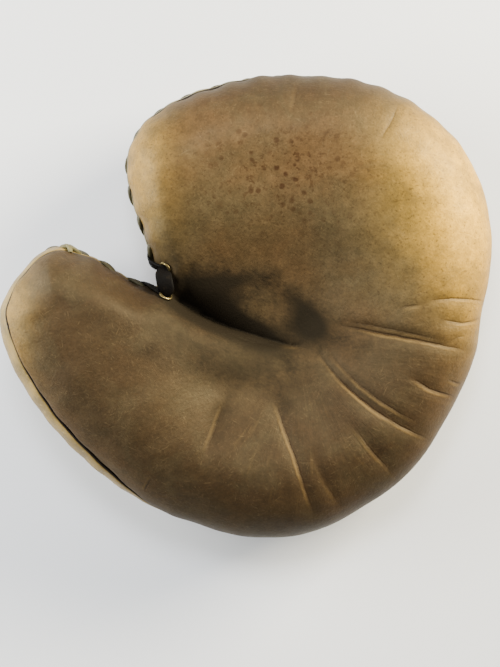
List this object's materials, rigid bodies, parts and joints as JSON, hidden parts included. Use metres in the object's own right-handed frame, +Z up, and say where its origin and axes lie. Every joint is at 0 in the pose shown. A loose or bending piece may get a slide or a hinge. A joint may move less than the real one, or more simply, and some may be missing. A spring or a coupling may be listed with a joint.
{
  "type": "padded catcher's mitt",
  "caption": "Padded round leather catcher's mitt for the left hand, with a separate thumb, a deep pocket fold, laced side bands and an open hand cavity in the back.",
  "frame": {"origin": "middle of the bounding box in plan, at the surface that the mitt's back lies on", "axes": "+X from the thumb to the far side, across the palm; +Y from the heel to the finger tips; +Z up, out of the palm"},
  "size_m": [0.3097, 0.2912, 0.0972],
  "materials": {
    "palm_leather": "worn oiled tan, darkened in the pocket",
    "finger_band_leather": "worn grey-olive",
    "thumb_band_leather": "worn pale cream",
    "back_leather": "matt brown",
    "lace_leather": "matt dark olive-brown",
    "web_leather": "blackened by oil and dirt",
    "brass": "aged satin"
  },
  "bodies": {
    "root": {"palm_pad": "palm_leather", "finger_band": "finger_band_leather", "thumb_band": "thumb_band_leather", "finger_back": "back_leather", "thumb_back": "back_leather", "finger_lace": "lace_leather", "thumb_lace": "lace_leather", "web_strap": "web_leather", "wrist_strap": "back_leather", "strap_button": "brass", "eyelet_finger": "brass", "eyelet_thumb": "brass"}
  },
  "joints": []
}
